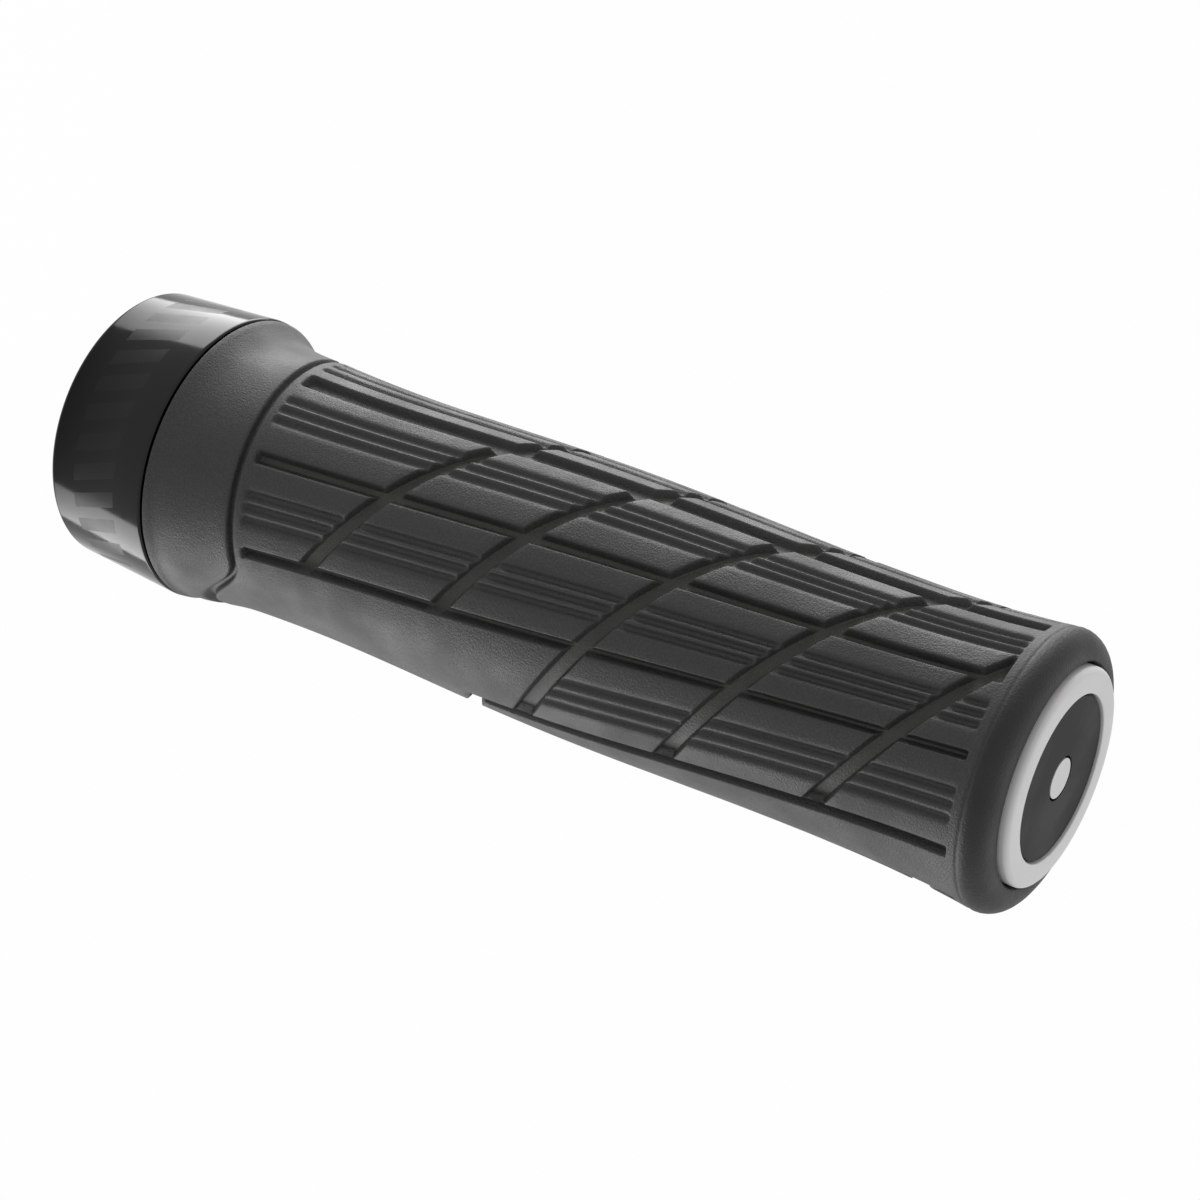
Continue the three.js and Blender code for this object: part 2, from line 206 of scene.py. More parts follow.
# Finishes. A noise is its scale and its detail, a relief its depth in metres and its strength.
RUBBER_FINISH = {"grain": (4200, 4), "cloud": (140, 5), "rough": (0.46, 0.6),
                 "relief": (0.00013, 0.7)}
NYLON_FINISH = {"grain": (1800, 2), "cloud": (120, 3), "relief": (0.00005, 0.4)}
WHITE_FINISH = {"grain": (1500, 2), "cloud": (150, 3), "rough": (0.34, 0.43),
                "relief": (0.00003, 0.3)}
NYLON_SMOOTHER = 0.05
NYLON_ROUGHER = 0.06
STEEL_CLOUD = (400, 3)
STEEL_ROUGH = (0.3, 0.45)
GLOSS_CLOUD = (700, 4)
GLOSS_ROUGH = (0.09, 0.13)
BAR_ROUGHER = 0.2

# The rubber's tints: most of the worn tone, the share of the floors' lighter tone, which is a
# painted sheen, and of the rim's tone, how deep a floor starts, how the rim fades in, and the
# specular level and what the rim takes off
WORN_TINT = 0.35
FLOOR_SHEEN_TINT = 0.3
RIM_TINT = 0.85
FLOOR_FROM = 0.9
RIM_FADE = 0.6
RUBBER_LEVEL = 0.34
RIM_LEVEL_LESS = 0.1

# The ring's gloss: its specular level from low to high between two heights, its IOR, and the
# flat inner end, which is found by its normal and is duller in both
RING_LEVELS = (0.1, 0.24)
RING_LEVEL_FROM = 1
RING_LEVEL_TO = 10
RING_IOR = 1.5
END_FACING = -0.9
END_LEVEL_LESS = 0.9
END_IOR_LESS = 0.45

# Soft panels: bearing round the grip, then in metres the distance from its axis, the height,
# the height aimed at and the size, and the brightness, where white is 1
PANELS = [
    ("upper_panel", -104, 0.5, -0.24, -0.24, (0.52, 0.6), 5.9),
    ("lower_panel", 100, 0.42, -0.24, -0.24, (0.27, 0.44), 5.1),
    ("end_panel", 180, 0.2, 0.7, GRIP_LENGTH / 2 * MM, (0.5, 0.5), 1.0),
]
WORLD_LIGHT = 0.53
FLOOR_Z = -0.62
FLOOR_HALF = 8
FLOOR_GREY = (0.85, 0.85, 0.85, 1)
FLOOR_WHITE = 0.98

# The camera: its place in millimetres, and world to camera as a turn about an axis, where the
# camera's x runs right, its y down and its z forward
CAMERA_AT = (0, -339.7, 240.0)
CAMERA_TURN = (1.2783, 1.8643, 1.1527)
CAMERA_LENS = 96.14
CAMERA_SENSOR = 36
CAMERA_CLIP = 0.01


# The rubber's shape
def smooth(x, a, b):
    t = np.clip((x - a) / (b - a), 0, 1)
    return t * t * (3 - 2 * t)


def lean_out(z, angle):
    """How far the rubber leans towards the underside."""
    flange = smooth(z, BODY_START, FLANGE_LEAN_AT)
    flange = flange * (1 - smooth(z, FLANGE_LEAN_AT, FLANGE_LEAN_AT + FLANGE_LEAN_REACH))
    body = smooth(z, BODY_START, BODY_START + BODY_LEAN_FROM)
    return (BODY_LEAN * body + FLANGE_LEAN * flange) * np.sin(np.radians(angle))


def body_radius(z, angle):
    run = np.maximum(0, z - BODY_START) / FLARE_LENGTH
    flare = (FLANGE_RADIUS - GRIP_RADIUS) * np.exp(-run ** FLARE_POWER)
    turn = np.clip((z - PALM_SWELL_AT) / PALM_SWELL_REACH, -1, 1)
    swell = PALM_SWELL * np.cos(turn * math.pi / 2) ** 2
    share = np.maximum(0, (z - RIM_AT + RIM_FLARE) / RIM_FLARE)
    rim = (RIM_RADIUS - GRIP_RADIUS) * share ** RIM_FLARE_POWER
    return GRIP_RADIUS + flare + swell + rim + lean_out(z, angle)


def angle_on_row(row, z):
    """The angle of a row line, which is named by its angle at MEASURED_AT."""
    return row + (TWIST + TWIST_SWING * np.sin(np.radians(row))) * (z - MEASURED_AT)


def slant_rise(angle):
    return -TURN_RISE * angle / 360 + SLANT_BOW * (1 - np.cos(np.radians(angle)))


def unwrapped(angle):
    """The angle brought between -90 and 270, where the neck's turns lie."""
    return (angle + 90) % 360 - 90


def tread_start(angle):
    turn = unwrapped(angle)
    bend = smooth(turn, *NECK_BEND)
    back = smooth(turn, *NECK_RETURN)
    front = NECK_AT_FRONT + NECK_SLOPE * np.minimum(turn, NECK_BEND[1])
    returned = NECK_AT_FRONT + NECK_SLOPE * (turn - 360)
    under = front + (NECK_UNDER - front) * bend
    return under + (returned - under) * back


def neck_width(angle):
    turn = unwrapped(angle)
    return NECK_WIDTH + NECK_WIDER * smooth(turn, *NECK_WIDENS) * (1 - smooth(turn, *NECK_NARROWS))


def wall(depth_in):
    """0 at the top edge of a wall to 1 at its foot, rounded at both."""
    return smooth(depth_in / WALL_RUN, -WALL_SOFT, 1 + WALL_SOFT)


def end_wall(share):
    """The same for the walls at the two ends of the tread, by the share of their run."""
    return smooth(share, *END_WALL_SOFT)


def cut_depth(row, slant):
    """How deep the tread is cut at a place given by its row line and slant line."""
    first = ROWS[0][0]
    turn = (row - first) % 360 + first
    place = slant + TURN_RISE * np.round((row - turn) / 360)
    nearest = np.maximum(FIRST_SLANT, np.round((place - SLANT_AT_FRONT) / SLANT_PITCH))
    from_slant = np.abs(place - SLANT_AT_FRONT - nearest * SLANT_PITCH)
    pad, strip = ROWS[PAD_ROW:PAD_ROW + 2]
    under = (turn > pad[1]) & (turn <= strip[1])
    across = np.where(under, wall(NOTCH_WIDTH / 2 - np.abs(place - NOTCH_AT)),
                      wall(SLANT_WIDTH / 2 - from_slant))
    along = np.zeros_like(place)
    fine = np.zeros_like(place)
    next_starts = [start for start, _, _ in ROWS[1:]] + [first + 360]
    for (_, end, grooves), next_start in zip(ROWS, next_starts):
        along = np.maximum(along, wall(np.minimum(turn - end, next_start - turn) * MM_PER_DEGREE))
        for groove in grooves:
            inside = GROOVE_HALF * GROOVE_REACH - np.abs(turn - groove) * MM_PER_DEGREE
            fine = np.maximum(fine, smooth(inside, 0, GROOVE_HALF * GROOVE_RUN))
    on_pad = (turn >= pad[0]) & (turn <= pad[1]) & (place < SLANT_AT_FRONT)
    fine = np.where(on_pad, 0, fine)
    depth = np.maximum(np.maximum(across, along) * CHANNEL_DEPTH, fine * GROOVE_DEPTH)
    margin = WALL_SOFT * WALL_RUN
    on_pad &= place < SLANT_AT_FRONT - SLANT_WIDTH / 2 - margin
    before_notch = under & (place < NOTCH_AT - NOTCH_WIDTH / 2 - margin)
    return np.where(on_pad | before_notch, 0, depth)


# The rubber's mesh
def filled(lines, step):
    """The sorted lines, with more between them wherever they are further apart than step."""
    lines = sorted(lines)
    full = []
    for a, b in zip(lines, lines[1:]):
        count = max(1, math.ceil((b - a) / step))
        full += [a + (b - a) * k / count for k in range(count)]
    return np.array(full)


def row_lines():
    degrees = 1 / MM_PER_DEGREE
    lines = []
    for start, end, grooves in ROWS:
        for share in WALL_LINES:
            lines += [start - share * WALL_RUN * degrees, end + share * WALL_RUN * degrees]
        for groove in grooves:
            lines += [groove + share * GROOVE_HALF * degrees for share in GROOVE_LINES]
    return filled(lines + [min(lines) + 360], ROW_STEP)


def slant_lines():
    """Lines of one turn's slanted channels and the notch, from the middle of a channel."""
    lines = [TURN_RISE]
    cuts = [(k * SLANT_PITCH, SLANT_WIDTH / 2) for k in range(SLANT_TURNS + 1)]
    cuts.append((NOTCH_AT - SLANT_AT_FRONT + TURN_RISE, NOTCH_WIDTH / 2))
    for centre, half in cuts:
        for share in WALL_LINES:
            reach = half - share * WALL_RUN
            lines += [centre - reach, centre + reach]
    return filled([0] + [line for line in lines if 0 < line <= TURN_RISE], SLANT_STEP)


def on_grip(angle, radius, z):
    a = np.radians(angle)
    return np.stack([radius * np.sin(a), -radius * np.cos(a), z + 0 * a], -1) * MM


def mesh_object(name, verts, faces, smooth_angle=None):
    mesh = bpy.data.meshes.new(name)
    mesh.from_pydata([tuple(v) for v in verts], [], faces)
    mesh.validate()
    mesh.update()
    obj = bpy.data.objects.new(name, mesh)
    bpy.context.scene.collection.objects.link(obj)
    mesh.shade_smooth()
    if smooth_angle is not None:
        mesh.set_sharp_from_angle(angle=math.radians(smooth_angle))
    return obj


def bridged(rings):
    """The faces between each ring of points and the next, closed all round."""
    faces = []
    for a, b in zip(rings, rings[1:]):
        faces += zip(a, np.roll(a, -1), np.roll(b, -1), b)
    return faces


def tread_grid(rows, slants):
    """The tread's points on every slant line and row line, their cut depths, and which of them
    are held at the tread's start and at its end."""
    row_grid, slant_grid = np.meshgrid(rows, slants)
    z = slant_grid.copy()
    angle = angle_on_row(row_grid, z)
    for _ in range(CLIP_ROUNDS):
        start = tread_start(angle) + COLLAR + WALL_RUN
        z = np.clip(slant_grid + slant_rise(angle), start, TREAD_END - WALL_RUN)
        angle = angle_on_row(row_grid, z)
    start = tread_start(angle) + COLLAR + WALL_RUN
    unheld = slant_grid + slant_rise(angle)
    below = unheld <= start + CLIP_SNAP
    above = unheld >= TREAD_END - WALL_RUN - CLIP_SNAP
    depth = cut_depth(row_grid, z - slant_rise(angle))
    return on_grip(angle, body_radius(z, angle) - depth, z), depth, below, above


def mark_floors(body, points):
    """Keeps how far each point lies below the blocks, for the lighter tone, a painted sheen, that
    the channels' floors are given.
    """
    x, y, z = (points / MM).T
    around = np.degrees(np.arctan2(x, -y))
    below_top = (body_radius(z, around) - np.hypot(x, y)) / CHANNEL_DEPTH
    in_tread = (z > tread_start(around)) & (z < TREAD_END) & (below_top < FLOOR_LIMIT)
    floor_share = body.data.attributes.new("floor_share", "FLOAT", "POINT")
    floor_share.data.foreach_set("value", np.where(in_tread, np.clip(below_top, 0, 1), 0))


def rubber_body():
    """The rubber as one closed skin. Its tread is a grid of row lines and slant lines, clipped
    where the tread starts and ends, and rings carry it round the flange, the rim and the bore."""
    rows = row_lines()
    count = len(rows)
    unit = slant_lines()
    slants = np.concatenate([SLANT_AT_FRONT + k * TURN_RISE + unit for k in SLANT_SPAN])
    tread, depth, below, above = tread_grid(rows, slants)
    columns = np.arange(count)
    first_rows = np.argmax(~below, axis=0) - 1
    last_rows = np.argmax(above, axis=0)
    first_depth = depth[first_rows, columns]
    last_depth = depth[last_rows, columns]
    verts = []

    def ring(points):
        start = sum(len(v) for v in verts)
        verts.append(points)
        return np.arange(start, start + count)

    def plain(radius, z):
        return ring(on_grip(angle_on_row(rows, z), radius, z))

    def leaning(radius, z):
        angle = angle_on_row(rows, z)
        return ring(on_grip(angle, radius + lean_out(z, angle), z))

    def following(z_of_angle, at, cut=0):
        """A ring on the body whose height follows the angle, cut in by a depth."""
        angle = angle_on_row(rows, at)
        z = z_of_angle(angle)
        return ring(on_grip(angle, body_radius(z, angle) - cut, z))

    # Bore, from the outer end back to the shoulder's pocket
    rings = [plain(SLEEVE_RADIUS + FIT_GAP,
                   SLEEVE_END + FIT_GAP + (SHOULDER_END - SLEEVE_END) * share)
             for share in BORE_LINES]
    pocket = SHOULDER_RADIUS + FIT_GAP
    rings.append(plain(pocket, SHOULDER_END + FIT_GAP))
    rings.append(plain(pocket, LIP_START + POCKET_EDGE))
    rings.append(plain(pocket + POCKET_EDGE, LIP_START))
    for turn in LIP_LINES * math.pi / 2:
        rings.append(plain(FLANGE_RADIUS - FLANGE_ROUND * (1 - math.sin(turn)),
                           LIP_START + FLANGE_ROUND * (1 - math.cos(turn))))
    for share in FLARE_LINES:
        rings.append(following(lambda a: LIP_START + FLANGE_ROUND + share * (
            tread_start(a) - neck_width(a) - LIP_START - FLANGE_ROUND),
            BODY_START + FLARE_LINES_END * share))
    for share, depth_share in NECK_PROFILE:
        rings.append(following(lambda a: tread_start(a) - neck_width(a) * (1 - share),
                               NECK_AT_FRONT, NECK_DEPTH * depth_share))
    for share in COLLAR_LINES:
        rings.append(following(lambda a: tread_start(a) + COLLAR * share, NECK_AT_FRONT))
    # Wall down to the tread's first line
    for share in END_WALL_LINES:
        rings.append(following(lambda a: tread_start(a) + COLLAR + WALL_RUN * share,
                               NECK_AT_FRONT, first_depth * end_wall(share)))
    faces = bridged(rings)

    # The tread itself: one index for every grid point, shared where the grid is clipped
    first_ring = ring(tread[first_rows, columns])
    last_ring = ring(tread[last_rows, columns])
    free = ~(below | above)
    index = np.full(free.shape, -1)
    index[free] = np.arange(free.sum()) + last_ring[-1] + 1
    index = np.where(below, first_ring, index)
    index = np.where(above, last_ring, index)
    verts.append(tread[free])
    # Past the last row line the grid goes on as the first, one turn's rise further along
    seam = np.roll(index[:, 0], len(unit))
    seam[:len(unit)] = first_ring[0]
    wrapped = np.concatenate([index, seam[:, None]], 1)
    for low, high in zip(wrapped, wrapped[1:]):
        for quad in zip(low, low[1:], high[1:], high):
            corners = tuple(dict.fromkeys(quad))
            if len(corners) > 2:
                faces.append(corners)
    faces += bridged([rings[-1], first_ring])

    # Outer end: wall up from the tread, rim, end face and the plug's recess
    tail = [last_ring]
    for share in (*reversed(END_WALL_LINES), 0.0):
        z = TREAD_END - WALL_RUN * share
        tail.append(following(lambda a: z, z, last_depth * end_wall(share)))
    for z in RIM_HEIGHTS:
        from_crease = (z - RIM_AT + RIM_CREASE_BACK) / RIM_CREASE_REACH
        tail.append(following(lambda a: z, z, RIM_CREASE * math.exp(-from_crease ** 2)))
    for turn in ROUND_LINES * math.pi / 2:
        tail.append(leaning(RIM_RADIUS - RIM_ROUND * (1 - math.cos(turn)),
                            RIM_AT + RIM_ROUND * math.sin(turn)))
    tail.append(leaning(RIM_RADIUS - RIM_ROUND * RIM_FACE_SHARE, RUBBER_END))
    recess = PLUG_RADIUS + FIT_GAP
    for wider, deeper in RECESS_EDGE:
        tail.append(plain(recess + wider, RUBBER_END - deeper))
    tail.append(plain(recess, SLEEVE_END + FIT_GAP))
    tail.append(rings[0])
    faces += bridged(tail)

    points = np.concatenate(verts)
    body = mesh_object("rubber_body", points, [tuple(int(i) for i in f) for f in faces])
    mark_floors(body, points)
    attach(body, "root")
    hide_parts("rubber_grip")
    return body


# Materials
def material(name, color, roughness, metallic=0.0):
    m = bpy.data.materials.new(name)
    m.use_nodes = True
    shader = m.node_tree.nodes["Principled BSDF"]
    shader.inputs["Base Color"].default_value = (*color, 1)
    shader.inputs["Roughness"].default_value = roughness
    shader.inputs["Metallic"].default_value = metallic
    return m, m.node_tree, shader


def add(tree, kind, **inputs):
    node = tree.nodes.new(kind)
    for key, value in inputs.items():
        node.inputs[key.replace("_", " ")].default_value = value
    return node


def noise(tree, scale, detail):
    where = tree.nodes.new("ShaderNodeTexCoord")
    texture = add(tree, "ShaderNodeTexNoise", Scale=scale, Detail=detail)
    tree.links.new(where.outputs["Object"], texture.inputs["Vector"])
    return texture.outputs["Fac"]


def split(tree, kind, output):
    """The x, y and z of what a node gives."""
    parts = tree.nodes.new("ShaderNodeSeparateXYZ")
    tree.links.new(tree.nodes.new(kind).outputs[output], parts.inputs[0])
    return parts.outputs


def spread(tree, source, low, high, start=0.35, end=0.65):
    """The source from start to end, spread from low to high."""
    node = add(tree, "ShaderNodeMapRange", From_Min=start, From_Max=end, To_Min=low, To_Max=high)
    tree.links.new(source, node.inputs["Value"])
    return node.outputs["Result"]


def math_node(tree, operation, *sources):
    """A math node's result, from sockets and plain numbers."""
    node = tree.nodes.new("ShaderNodeMath")
    node.operation = operation
    for socket, source in zip(node.inputs, sources):
        if isinstance(source, (int, float)):
            socket.default_value = source
        else:
            tree.links.new(source, socket)
    return node.outputs[0]


def less(tree, start, amount, share):
    """Start less an amount of a share."""
    return math_node(tree, "SUBTRACT", start, math_node(tree, "MULTIPLY", share, amount))


def mixed(tree, share, *colors):
    """Two colours, each a socket or four numbers, mixed by a share."""
    node = tree.nodes.new("ShaderNodeMix")
    node.data_type = "RGBA"
    tree.links.new(share, node.inputs["Factor"])
    for socket, color in zip((node.inputs[6], node.inputs[7]), colors):
        if isinstance(color, tuple):
            socket.default_value = color
        else:
            tree.links.new(color, socket)
    return node.outputs[2]


def bump(tree, shader, source, distance, strength):
    node = add(tree, "ShaderNodeBump", Distance=distance, Strength=strength)
    tree.links.new(source, node.inputs["Height"])
    tree.links.new(node.outputs["Normal"], shader.inputs["Normal"])


def finished(tree, shader, grain, cloud, rough, relief):
    """A cloudy roughness and a raised grain. The grain and the cloud are given back."""
    grain = noise(tree, *grain)
    cloud = noise(tree, *cloud)
    tree.links.new(spread(tree, cloud, *rough), shader.inputs["Roughness"])
    bump(tree, shader, grain, *relief)
    return grain, cloud


def rubber_material():
    m, tree, shader = material("grip_rubber", RUBBER_PLAIN, 0.5)
    grain, cloud = finished(tree, shader, **RUBBER_FINISH)
    tone = mixed(tree, spread(tree, grain, 0, 1), RUBBER_LOW, RUBBER_HIGH)
    tone = mixed(tree, spread(tree, cloud, 0, WORN_TINT), tone, RUBBER_WORN)
    depth = tree.nodes.new("ShaderNodeAttribute")
    depth.attribute_name = "floor_share"
    # Floors deeper than FLOOR_FROM are lightened: a painted sheen
    past_walls = math_node(tree, "GREATER_THAN", depth.outputs["Fac"], FLOOR_FROM)
    tone = mixed(tree, math_node(tree, "MULTIPLY", past_walls, FLOOR_SHEEN_TINT), tone, RUBBER_FLOOR_SHEEN)
    z = split(tree, "ShaderNodeTexCoord", "Object")["Z"]
    on_rim = spread(tree, z, 0, 1, (RIM_AT - RIM_FADE) * MM, RIM_AT * MM)
    tone = mixed(tree, math_node(tree, "MULTIPLY", on_rim, RIM_TINT), tone, RUBBER_RIM)
    tree.links.new(tone, shader.inputs["Base Color"])
    level = less(tree, RUBBER_LEVEL, RIM_LEVEL_LESS, on_rim)
    tree.links.new(level, shader.inputs["Specular IOR Level"])
    return m


def nylon_material(name, tone, roughness, specular):
    m, tree, shader = material(name, (tone, tone, tone), roughness)
    shader.inputs["Specular IOR Level"].default_value = specular
    rough = (roughness - NYLON_SMOOTHER, roughness + NYLON_ROUGHER)
    finished(tree, shader, rough=rough, **NYLON_FINISH)
    return m


def white_material():
    m, tree, shader = material("white_plastic", WHITE_PLASTIC, 0.4)
    finished(tree, shader, **WHITE_FINISH)
    return m


def steel_material():
    m, tree, shader = material("black_steel", BLACK_STEEL, 0.35, 0.9)
    cloud = noise(tree, *STEEL_CLOUD)
    tree.links.new(spread(tree, cloud, *STEEL_ROUGH), shader.inputs["Roughness"])
    return m


def gloss_black_material():
    """Gloss black, with a band of plain satin bars round the ring."""
    m, tree, shader = material("black_anodised", RING_BLACK, 0.1)
    x, y, z = split(tree, "ShaderNodeTexCoord", "Object")
    # The gloss grows towards the rubber, and the flat inner end is dull
    level = spread(tree, z, *RING_LEVELS, RING_LEVEL_FROM * MM, RING_LEVEL_TO * MM)
    facing = split(tree, "ShaderNodeNewGeometry", "Normal")["Z"]
    flat_end = math_node(tree, "LESS_THAN", facing, END_FACING)
    level = math_node(tree, "MULTIPLY", level, less(tree, 1, END_LEVEL_LESS, flat_end))
    tree.links.new(level, shader.inputs["Specular IOR Level"])
    tree.links.new(less(tree, RING_IOR, END_IOR_LESS, flat_end), shader.inputs["IOR"])
    # The bars, counted in degrees round the ring and millimetres along it
    around = math_node(tree, "ARCTAN2", x, math_node(tree, "MULTIPLY", y, -1))
    around = math_node(tree, "MULTIPLY", around, 180 / math.pi)
    height = math_node(tree, "DIVIDE", math_node(tree, "SUBTRACT", z, BARS_AT * MM), MM)
    slanted = math_node(tree, "ADD", around, math_node(tree, "MULTIPLY", height, BAR_SLANT))
    place = math_node(tree, "PINGPONG", slanted, BAR_PITCH / 2)
    marked = math_node(tree, "LESS_THAN", place, BAR_SHARE * BAR_PITCH / 2)
    for value, limit in ((height, BARS_HEIGHT / 2), (slanted, BARS_REACH)):
        within = math_node(tree, "LESS_THAN", math_node(tree, "ABSOLUTE", value), limit)
        marked = math_node(tree, "MULTIPLY", marked, within)
    gloss = spread(tree, noise(tree, *GLOSS_CLOUD), *GLOSS_ROUGH)
    satin = math_node(tree, "MULTIPLY", marked, BAR_ROUGHER)
    tree.links.new(math_node(tree, "ADD", gloss, satin), shader.inputs["Roughness"])
    tree.links.new(mixed(tree, marked, (*RING_BLACK, 1), BAR_BLACK), shader.inputs["Base Color"])
    return m


# Other pieces
def turned(name, points, segments):
    """A solid of revolution from (radius, z) points in millimetres, closed on itself."""
    angles = np.arange(segments) * 360 / segments
    verts = [on_grip(angles, radius, z) for radius, z in points]
    rings = [np.arange(segments) + p * segments for p in range(len(points))]
    faces = [tuple(int(i) for i in f) for f in bridged(rings + rings[:1])]
    return mesh_object(name, np.concatenate(verts), faces, SMOOTH_ANGLE)


def rounded(corner, before, after, radius, steps):
    """Points of a small arc that rounds a profile's corner between its two neighbours."""
    c, a, b = (np.array(p, float) for p in (corner, before, after))
    u = (a - c) / np.linalg.norm(a - c)
    v = (b - c) / np.linalg.norm(b - c)
    half = math.acos(np.clip(u @ v, -1, 1)) / 2
    reach = radius / math.tan(half)
    middle = c + (u + v) / np.linalg.norm(u + v) * radius / math.sin(half)
    start, end = c + u * reach - middle, c + v * reach - middle
    points = []
    for t in np.linspace(0, 1, steps):
        d = start * (1 - t) + end * t
        points.append(tuple(middle + d / np.linalg.norm(d) * radius))
    return points


def plug_ring_piece():
    r, top, inner = PLUG_RADIUS, GRIP_LENGTH, PLUG_FIELD_RADIUS
    points = [(inner, PLUG_SEAT), (r, PLUG_SEAT)]
    points += rounded((r, top), (r, PLUG_SEAT), (inner, top), PLUG_EDGE_ROUND, 9)
    points += rounded((inner, top), (r, top), (inner, PLUG_SEAT), PLUG_INNER_ROUND, 4)
    piece = turned("plug_white_ring", points, 192)
    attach(piece, "root")
    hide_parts("plug_ring")
    return piece


def at_angle(name, corners, faces, angle):
    """A mesh from corners in millimetres, made facing -Y and turned round the grip."""
    turn = Matrix.Rotation(math.radians(angle), 3, "Z")
    return mesh_object(name, [turn @ Vector(c) * MM for c in corners], faces)


# A block's faces, wound outwards for corners that run over x, then -y, then z
BLOCK_FACES = [(2, 3, 1, 0), (5, 7, 6, 4), (1, 5, 4, 0), (6, 7, 3, 2), (4, 6, 2, 0), (3, 7, 5, 1)]


def solid_block(name, across, outwards, heights, angle):
    """A block between two places across, outwards and in height, at an angle."""
    corners = [(x, -y, z) for x in across for y in outwards for z in heights]
    return at_angle(name, corners, BLOCK_FACES, angle)


def solid_pin(name, radius, start, end, segments=48):
    """A round pin on the clamp screw's axis, which crosses the slit square to it."""
    corners = []
    for x in (start, end):
        for k in range(segments):
            a = 2 * math.pi * k / segments
            corners.append((x, -SCREW_OFFSET + radius * math.cos(a),
                            RING_LENGTH / 2 + radius * math.sin(a)))
    faces = [(k, (k + 1) % segments, segments + (k + 1) % segments, segments + k)
             for k in range(segments)]
    faces += [tuple(reversed(range(segments))), tuple(range(segments, 2 * segments))]
    return at_angle(name, corners, faces, SLIT_ANGLE)


def clamp_ring_piece():
    """The clamp ring with rounded edges, and the slit, screw pocket and notches cut from it."""
    inner, end = (RING_INNER_END, 0), (RING_OUTER_END, RING_LENGTH)
    points = [(BORE_RADIUS, 0)]
    points += rounded(inner, (BORE_RADIUS, 0), end, RING_CHAMFER, 9)
    points += rounded(end, inner, (BORE_RADIUS, RING_LENGTH), RING_EDGE_BREAK, 6)
    points += [(BORE_RADIUS, RING_LENGTH)]
    ring = turned("clamp_collar", points, 288)
    past_bore, past_end = BORE_RADIUS - 1, RING_LENGTH + 1
    seat = SCREW_HEAD_SEAT - FIT_GAP
    room = SCREW_HEAD_RADIUS + FIT_GAP
    far = RING_OUTER_END + FIT_GAP
    half_slit = SLIT_WIDTH / 2
    half_notch = DOG_WIDTH / 2 + FIT_GAP
    cuts = [
        solid_block("cut_slit", (-half_slit, half_slit), (past_bore, far), (-1, past_end),
                    SLIT_ANGLE),
        solid_pin("cut_pocket", room, seat, far),
        solid_pin("cut_hole", SCREW_RADIUS + FIT_GAP, SCREW_HEAD_SEAT - SCREW_LENGTH - FIT_GAP,
                  seat + FIT_GAP),
    ]
    cuts += [solid_block("cut_notch", (-half_notch, half_notch), (past_bore, DOG_RADIUS + FIT_GAP),
                         (RING_LENGTH - DOG_HEIGHT, past_end), angle) for angle in DOG_ANGLES]
    cuts.append(solid_block("cut_mouth", (seat, far), (SCREW_OFFSET, far),
                            (RING_LENGTH / 2 - room, RING_LENGTH / 2 + room), SLIT_ANGLE))
    for cutter in cuts:
        shape = ring.modifiers.new(cutter.name, "BOOLEAN")
        shape.operation = "DIFFERENCE"
        shape.solver = "EXACT"
        shape.object = cutter
    bpy.context.view_layer.update()
    view = bpy.context.evaluated_depsgraph_get()
    mesh = bpy.data.meshes.new_from_object(ring.evaluated_get(view))
    ring.modifiers.clear()
    ring.data = mesh
    mesh.shade_smooth()
    mesh.set_sharp_from_angle(angle=math.radians(CUT_RING_SMOOTH_ANGLE))
    for cutter in cuts:
        bpy.data.objects.remove(cutter)
    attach(ring, "root")
    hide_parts("clamp_ring")
    return ring


def dress(obj, m):
    obj.data.materials.clear()
    obj.data.materials.append(m)


def dress_solid(node, m):
    """A solid that stays as it is, with a material and its round faces smooth."""
    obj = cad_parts[node]
    dress(obj, m)
    obj.data.shade_smooth()
    obj.data.set_sharp_from_angle(angle=math.radians(SMOOTH_ANGLE))


# Studio
def seen(tree):
    """1 for rays that come from the camera, or from it by way of gloss or glass."""
    path = tree.nodes.new("ShaderNodeLightPath")
    total = path.outputs["Is Camera Ray"]
    for kind in ("Is Glossy Ray", "Is Transmission Ray"):
        total = math_node(tree, "MAXIMUM", total, path.outputs[kind])
    return total


def shown_by(tree, share, lit, shown, output):
    """Ends a node tree in a mix of what gives light and what is shown, by a share."""
    blend = tree.nodes.new("ShaderNodeMixShader")
    for source, socket in zip((share, lit.outputs[0], shown.outputs[0]), blend.inputs):
        tree.links.new(source, socket)
    tree.links.new(blend.outputs[0], tree.nodes.new(output).inputs[0])


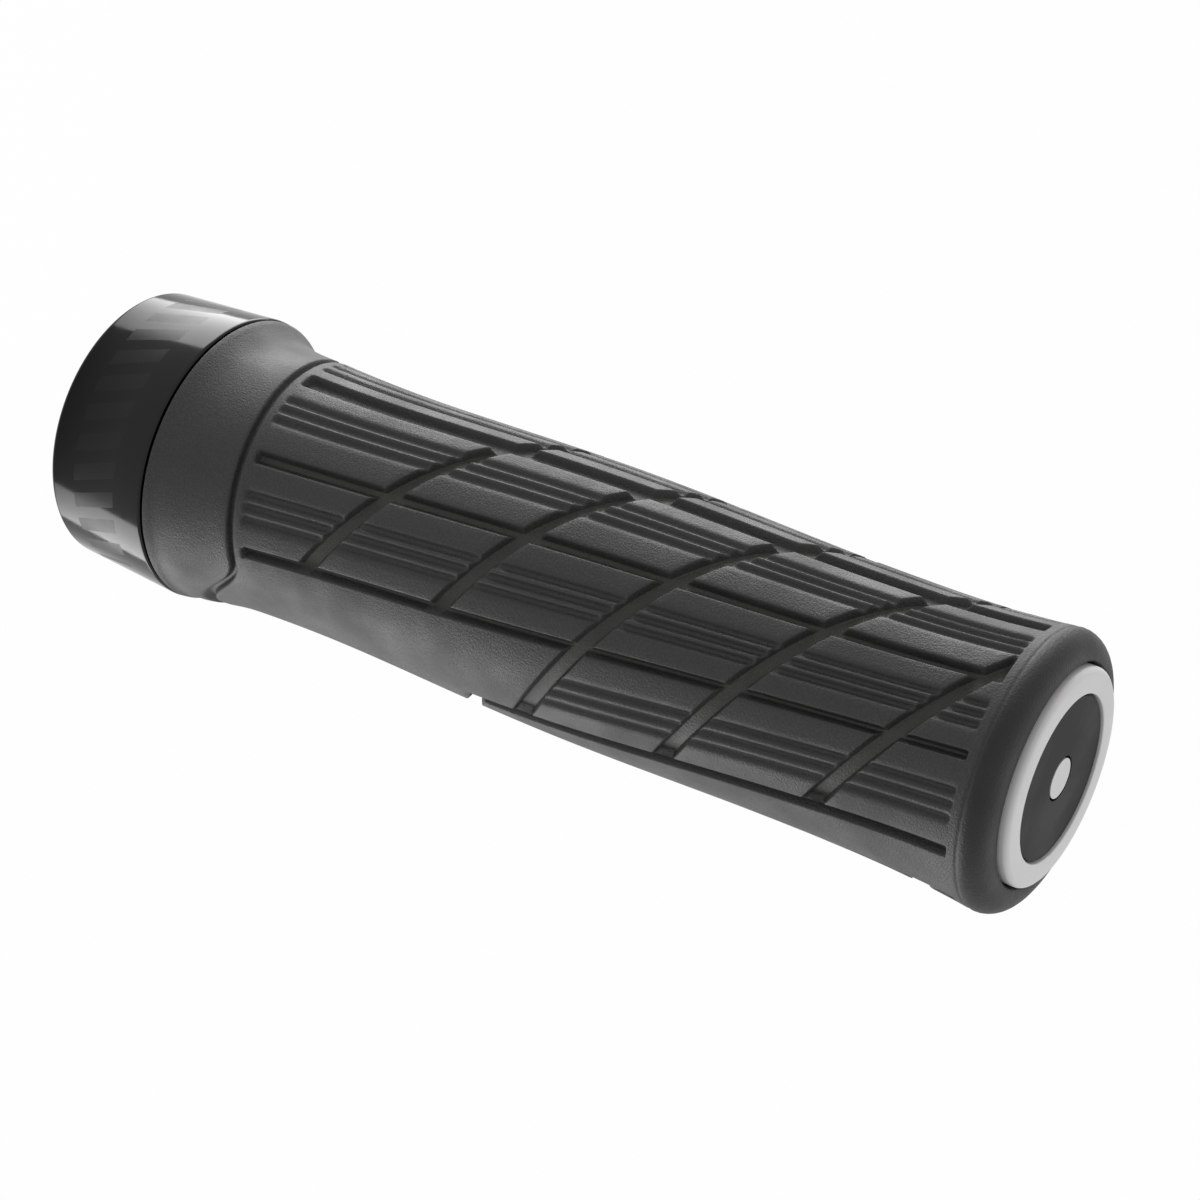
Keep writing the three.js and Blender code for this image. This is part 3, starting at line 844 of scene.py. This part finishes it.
def studio():
    """White floor well below the hanging grip, light world and soft panels on either side."""
    scene = bpy.context.scene
    scene.view_settings.view_transform = "Standard"
    corners = [(x * FLOOR_HALF, y * FLOOR_HALF, FLOOR_Z)
               for x, y in ((-1, -1), (1, -1), (1, 1), (-1, 1))]
    floor = mesh_object("floor", corners, [(0, 1, 2, 3)])
    m = bpy.data.materials.new("floor_white")
    m.use_nodes = True
    tree = m.node_tree
    tree.nodes.clear()
    diffuse = add(tree, "ShaderNodeBsdfDiffuse", Color=FLOOR_GREY)
    glow = add(tree, "ShaderNodeEmission", Color=WHITE, Strength=1.0)
    share = math_node(tree, "MULTIPLY", seen(tree), FLOOR_WHITE)
    shown_by(tree, share, diffuse, glow, "ShaderNodeOutputMaterial")
    floor.data.materials.append(m)

    world = bpy.data.worlds.new("studio")
    scene.world = world
    world.use_nodes = True
    tree = world.node_tree
    tree.nodes.clear()
    soft = add(tree, "ShaderNodeBackground", Color=WHITE, Strength=WORLD_LIGHT)
    white = add(tree, "ShaderNodeBackground", Color=WHITE, Strength=1.0)
    shown_by(tree, seen(tree), soft, white, "ShaderNodeOutputWorld")
    for values in PANELS:
        panel(*values)


def panel(name, bearing, distance, z, aim_z, size, radiance):
    """A soft panel that faces the grip's axis, of a brightness where white is 1."""
    lamp = bpy.data.lights.new(name, "AREA")
    lamp.shape = "RECTANGLE"
    lamp.size, lamp.size_y = size
    lamp.energy = radiance * math.pi * size[0] * size[1]
    obj = bpy.data.objects.new(name, lamp)
    bpy.context.scene.collection.objects.link(obj)
    a = math.radians(bearing)
    obj.location = (distance * math.sin(a), -distance * math.cos(a), z)
    aim = Vector((0, 0, aim_z)) - obj.location
    obj.rotation_euler = aim.to_track_quat("-Z", "Y").to_euler()


def camera():
    """The photograph's view: from the grip's front, above, and turned on its side."""
    data = bpy.data.cameras.new("camera")
    data.sensor_width = CAMERA_SENSOR
    data.lens = CAMERA_LENS
    data.clip_start = CAMERA_CLIP
    obj = bpy.data.objects.new("camera", data)
    bpy.context.scene.collection.objects.link(obj)
    turn = Vector(CAMERA_TURN)
    to_camera = Matrix.Rotation(turn.length, 3, turn.normalized())
    to_world = to_camera.transposed() @ Matrix.Diagonal((1, -1, -1))
    obj.matrix_world = Matrix.Translation(Vector(CAMERA_AT) * MM) @ to_world.to_4x4()
    bpy.context.scene.camera = obj


camera()
studio()
dress(rubber_body(), rubber_material())
white_plastic = white_material()
dress(plug_ring_piece(), white_plastic)
dress(clamp_ring_piece(), gloss_black_material())
dress_solid("core_sleeve", nylon_material("black_nylon", 0.02, 0.5, 0.3))
dress_solid("end_plug", nylon_material("plug_nylon", 0.011, 0.6, 0.18))
dress_solid("clamp_screw", steel_material())
dress_solid("plug_inlay", white_plastic)
